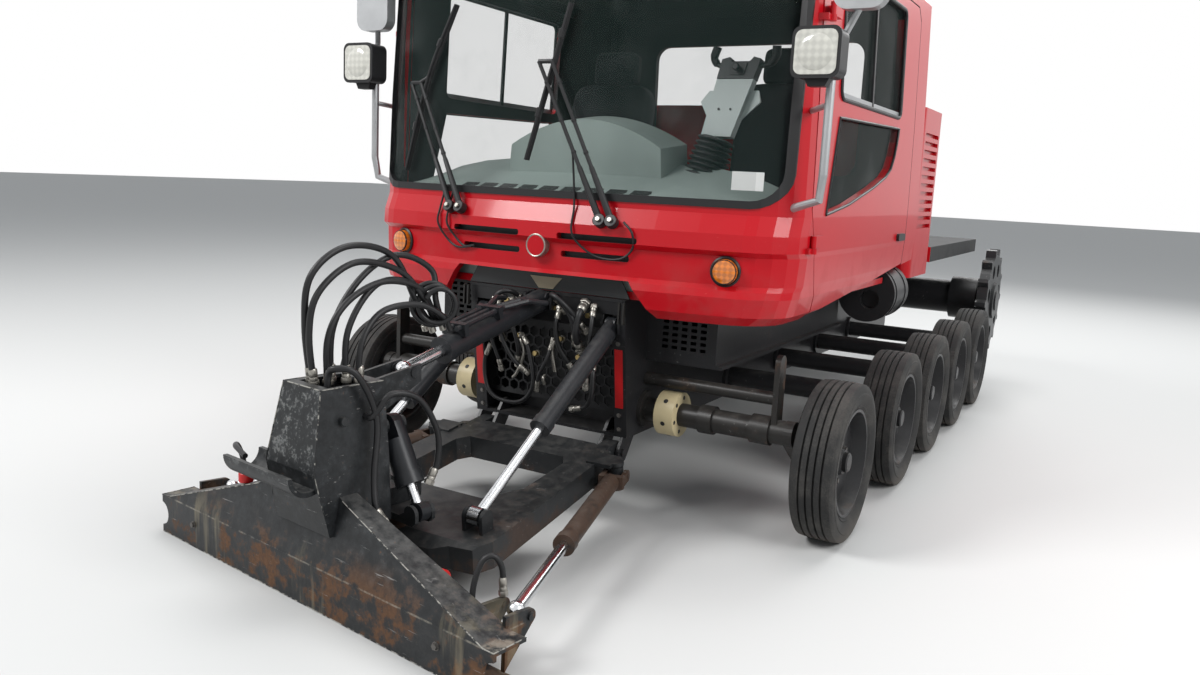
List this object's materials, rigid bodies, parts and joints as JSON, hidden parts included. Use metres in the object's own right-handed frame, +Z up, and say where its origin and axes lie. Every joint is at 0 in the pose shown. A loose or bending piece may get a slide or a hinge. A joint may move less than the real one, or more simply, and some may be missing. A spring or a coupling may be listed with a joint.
{
  "type": "snow groomer",
  "caption": "Snow groomer standing on its road wheels without tracks or blade: wide nosed cab, push frame with swinging blade carrier, engine deck behind.",
  "frame": {"origin": "centre of the bounding box's floor plan, on the ground below the wheels", "axes": "front faces -Y, the driver's side (machine's left) is +X, Z is up"},
  "size_m": [2.521, 6.2576, 2.7303],
  "materials": {
    "black_frame": "satin paint, worn",
    "body_red": "gloss paint",
    "engine": "cast",
    "glass": "clear, faint green",
    "interior": "grey-green plastic and black cloth",
    "lamp": "black housings, amber and clear lenses",
    "rail": "galvanised tube",
    "rim_black": "black paint",
    "rod_steel": "hard chrome",
    "roller": "cream plastic",
    "rusty_steel": "worn paint over rust",
    "seal": "matt",
    "tyre": "dusty rubber"
  },
  "bodies": {
    "machine": {"chassis": "black_frame", "front_hull": "black_frame", "cab_shell": "body_red", "cab_glass": "glass", "window_seals": "seal", "cab_interior": "interior", "rails": "rail", "lamps": "lamp", "wipers": "seal", "rear_body": "body_red", "engine_block": "engine", "front_axle": "rusty_steel", "guide_rollers": "roller"},
    "door_left": {"door_left": "body_red", "door_glass_left": "glass"},
    "door_right": {"door_right": "body_red", "door_glass_right": "glass"},
    "engine_lid": {"engine_lid": "body_red"},
    "wheel_left_1": {"tyre_left_1": "tyre", "rim_left_1": "rim_black"},
    "wheel_left_2": {"tyre_left_2": "tyre", "rim_left_2": "rim_black"},
    "wheel_left_3": {"tyre_left_3": "tyre", "rim_left_3": "rim_black"},
    "wheel_left_4": {"tyre_left_4": "tyre", "rim_left_4": "rim_black"},
    "wheel_left_5": {"tyre_left_5": "tyre", "rim_left_5": "rim_black"},
    "wheel_right_1": {"tyre_right_1": "tyre", "rim_right_1": "rim_black"},
    "wheel_right_2": {"tyre_right_2": "tyre", "rim_right_2": "rim_black"},
    "wheel_right_3": {"tyre_right_3": "tyre", "rim_right_3": "rim_black"},
    "wheel_right_4": {"tyre_right_4": "tyre", "rim_right_4": "rim_black"},
    "wheel_right_5": {"tyre_right_5": "tyre", "rim_right_5": "rim_black"},
    "sprocket_left": {"sprocket_left": "black_frame"},
    "sprocket_right": {"sprocket_right": "black_frame"},
    "push_frame": {"push_frame": "black_frame"},
    "pivot_cradle": {"pivot_cradle": "rusty_steel"},
    "pivot_ball": {"pivot_ball": "rusty_steel"},
    "blade_carrier": {"blade_carrier": "black_frame", "swing_post": "black_frame", "tilt_cylinder": "black_frame", "front_hoses": "seal"},
    "lift_barrels": {"lift_barrels": "black_frame"},
    "lift_rods": {"lift_rods": "rod_steel"},
    "toplink_barrel": {"toplink_barrel": "black_frame"},
    "toplink_rod": {"toplink_rod": "rod_steel"},
    "swing_yoke_left": {"swing_yoke_left": "black_frame"},
    "swing_barrel_left": {"swing_barrel_left": "rusty_steel"},
    "swing_rod_left": {"swing_rod_left": "rod_steel"},
    "swing_yoke_right": {"swing_yoke_right": "black_frame"},
    "swing_barrel_right": {"swing_barrel_right": "rusty_steel"},
    "swing_rod_right": {"swing_rod_right": "rod_steel"},
    "rear_lift": {"rear_lift": "black_frame"},
    "rear_barrels": {"rear_barrels": "black_frame"},
    "rear_rods": {"rear_rods": "rod_steel"}
  },
  "joints": [
    {"name": "door_left_hinge", "type": "hinge", "parent": "machine", "child": "door_left", "pos_m": [1.027, -1.47738, 1.5], "axis": [0, 0, -1], "range_deg": [0, 75]},
    {"name": "door_right_hinge", "type": "hinge", "parent": "machine", "child": "door_right", "pos_m": [-1.027, -1.47738, 1.5], "axis": [0, 0, 1], "range_deg": [0, 75]},
    {"name": "engine_lid_hinge", "type": "hinge", "parent": "machine", "child": "engine_lid", "pos_m": [0, 1.07262, 1.08], "axis": [1, 0, 0], "range_deg": [0, 70]},
    {"name": "wheel_left_1_spin", "type": "hinge", "parent": "machine", "child": "wheel_left_1", "pos_m": [1.153, -1.37338, 0.317], "axis": [1, 0, 0], "continuous": true},
    {"name": "wheel_left_2_spin", "type": "hinge", "parent": "machine", "child": "wheel_left_2", "pos_m": [1.153, -0.46638, 0.317], "axis": [1, 0, 0], "continuous": true},
    {"name": "wheel_left_3_spin", "type": "hinge", "parent": "machine", "child": "wheel_left_3", "pos_m": [1.153, 0.25262, 0.317], "axis": [1, 0, 0], "continuous": true},
    {"name": "wheel_left_4_spin", "type": "hinge", "parent": "machine", "child": "wheel_left_4", "pos_m": [1.153, 0.97162, 0.317], "axis": [1, 0, 0], "continuous": true},
    {"name": "wheel_left_5_spin", "type": "hinge", "parent": "machine", "child": "wheel_left_5", "pos_m": [1.153, 1.69062, 0.317], "axis": [1, 0, 0], "continuous": true},
    {"name": "wheel_right_1_spin", "type": "hinge", "parent": "machine", "child": "wheel_right_1", "pos_m": [-1.153, -1.37338, 0.317], "axis": [1, 0, 0], "continuous": true},
    {"name": "wheel_right_2_spin", "type": "hinge", "parent": "machine", "child": "wheel_right_2", "pos_m": [-1.153, -0.46638, 0.317], "axis": [1, 0, 0], "continuous": true},
    {"name": "wheel_right_3_spin", "type": "hinge", "parent": "machine", "child": "wheel_right_3", "pos_m": [-1.153, 0.25262, 0.317], "axis": [1, 0, 0], "continuous": true},
    {"name": "wheel_right_4_spin", "type": "hinge", "parent": "machine", "child": "wheel_right_4", "pos_m": [-1.153, 0.97162, 0.317], "axis": [1, 0, 0], "continuous": true},
    {"name": "wheel_right_5_spin", "type": "hinge", "parent": "machine", "child": "wheel_right_5", "pos_m": [-1.153, 1.69062, 0.317], "axis": [1, 0, 0], "continuous": true},
    {"name": "sprocket_left_spin", "type": "hinge", "parent": "machine", "child": "sprocket_left", "pos_m": [1.153, 2.34662, 0.64], "axis": [1, 0, 0], "continuous": true},
    {"name": "sprocket_right_spin", "type": "hinge", "parent": "machine", "child": "sprocket_right", "pos_m": [-1.153, 2.34662, 0.64], "axis": [1, 0, 0], "continuous": true},
    {"name": "blade_lift", "type": "hinge", "parent": "machine", "child": "push_frame", "pos_m": [0, -1.67638, 0.265], "axis": [-1, 0, 0], "range_deg": [-3, 26]},
    {"name": "cradle_levelling", "type": "hinge", "parent": "push_frame", "child": "pivot_cradle", "pos_m": [0, -2.59622, 0.15], "axis": [1, 0, 0], "range_deg": [-3, 26]},
    {"name": "cutting_angle", "type": "hinge", "parent": "pivot_cradle", "child": "pivot_ball", "pos_m": [0, -2.59622, 0.15], "axis": [-1, 0, 0], "range_deg": [-8, 8]},
    {"name": "blade_swing", "type": "hinge", "parent": "pivot_ball", "child": "blade_carrier", "pos_m": [0, -2.59622, 0.15], "axis": [0, 0, 1], "range_deg": [-11, 27]},
    {"name": "lift_cylinder_pivot", "type": "hinge", "parent": "machine", "child": "lift_barrels", "pos_m": [0, -1.72038, 0.795], "axis": [-1, 0, 0], "range_deg": [-2.43, 21.06]},
    {"name": "lift_rod_slide", "type": "slide", "parent": "lift_barrels", "child": "lift_rods", "axis": [0, -0.8438, -0.5366], "range_m": [-0.22603, 0.02608]},
    {"name": "toplink_pivot", "type": "hinge", "parent": "machine", "child": "toplink_barrel", "pos_m": [0, -1.77338, 0.868], "axis": [-1, 0, 0], "range_deg": [-3.35, 29]},
    {"name": "toplink_rod_slide", "type": "slide", "parent": "toplink_barrel", "child": "toplink_rod", "axis": [0, -0.9798, -0.2], "range_m": [-0.07501, 0.07501]},
    {"name": "swing_yoke_left_turn", "type": "hinge", "parent": "push_frame", "child": "swing_yoke_left", "pos_m": [0.448, -1.87484, 0.24019], "axis": [0, -0.1241, 0.9923], "range_deg": [-4.62, 11.35]},
    {"name": "swing_cylinder_left_nod", "type": "hinge", "parent": "swing_yoke_left", "child": "swing_barrel_left", "pos_m": [0.448, -1.87484, 0.24019], "axis": [0.9707, 0.2382, 0.0298], "range_deg": [-0.86, 7.46]},
    {"name": "swing_rod_left_slide", "type": "slide", "parent": "swing_barrel_left", "child": "swing_rod_left", "axis": [0.2399, -0.9672, -0.083], "range_m": [-0.30368, 0.12372]},
    {"name": "swing_yoke_right_turn", "type": "hinge", "parent": "push_frame", "child": "swing_yoke_right", "pos_m": [-0.448, -1.87484, 0.24019], "axis": [0, -0.1241, 0.9923], "range_deg": [-4.66, 11.45]},
    {"name": "swing_cylinder_right_nod", "type": "hinge", "parent": "swing_yoke_right", "child": "swing_barrel_right", "pos_m": [-0.448, -1.87484, 0.24019], "axis": [0.9335, -0.3557, -0.0445], "range_deg": [-0.31, 2.66]},
    {"name": "swing_rod_right_slide", "type": "slide", "parent": "swing_barrel_right", "child": "swing_rod_right", "axis": [-0.3584, -0.9281, -0.1009], "range_m": [-0.12232, 0.30023]},
    {"name": "rear_lift_pivot", "type": "hinge", "parent": "machine", "child": "rear_lift", "pos_m": [0, 2.64862, 0.52], "axis": [1, 0, 0], "range_deg": [-8, 32]},
    {"name": "rear_cylinder_pivot", "type": "hinge", "parent": "machine", "child": "rear_barrels", "pos_m": [0, 2.63662, 0.856], "axis": [1, 0, 0], "range_deg": [-2.81, 11.23]},
    {"name": "rear_rod_slide", "type": "slide", "parent": "rear_barrels", "child": "rear_rods", "axis": [0, 0.6632, -0.7485], "range_m": [-0.12989, 0.03247]}
  ],
  "couplings": [
    {"joint": "cradle_levelling", "follows": "blade_lift", "ratio": 1},
    {"joint": "lift_cylinder_pivot", "follows": "blade_lift", "ratio": 0.81008},
    {"joint": "lift_rod_slide", "follows": "blade_lift", "m_per_rad": -0.4981},
    {"joint": "toplink_pivot", "follows": "blade_lift", "ratio": 1.1155},
    {"joint": "toplink_rod_slide", "follows": "cutting_angle", "m_per_rad": -0.53721},
    {"joint": "swing_yoke_left_turn", "follows": "blade_swing", "ratio": 0.42036},
    {"joint": "swing_cylinder_left_nod", "follows": "blade_lift", "ratio": 0.28689},
    {"joint": "swing_rod_left_slide", "follows": "blade_swing", "m_per_rad": -0.64442},
    {"joint": "swing_yoke_right_turn", "follows": "blade_swing", "ratio": 0.42397},
    {"joint": "swing_cylinder_right_nod", "follows": "blade_lift", "ratio": 0.10212},
    {"joint": "swing_rod_right_slide", "follows": "blade_swing", "m_per_rad": 0.63712},
    {"joint": "rear_cylinder_pivot", "follows": "rear_lift_pivot", "ratio": 0.35079},
    {"joint": "rear_rod_slide", "follows": "rear_lift_pivot", "m_per_rad": -0.23256}
  ]
}
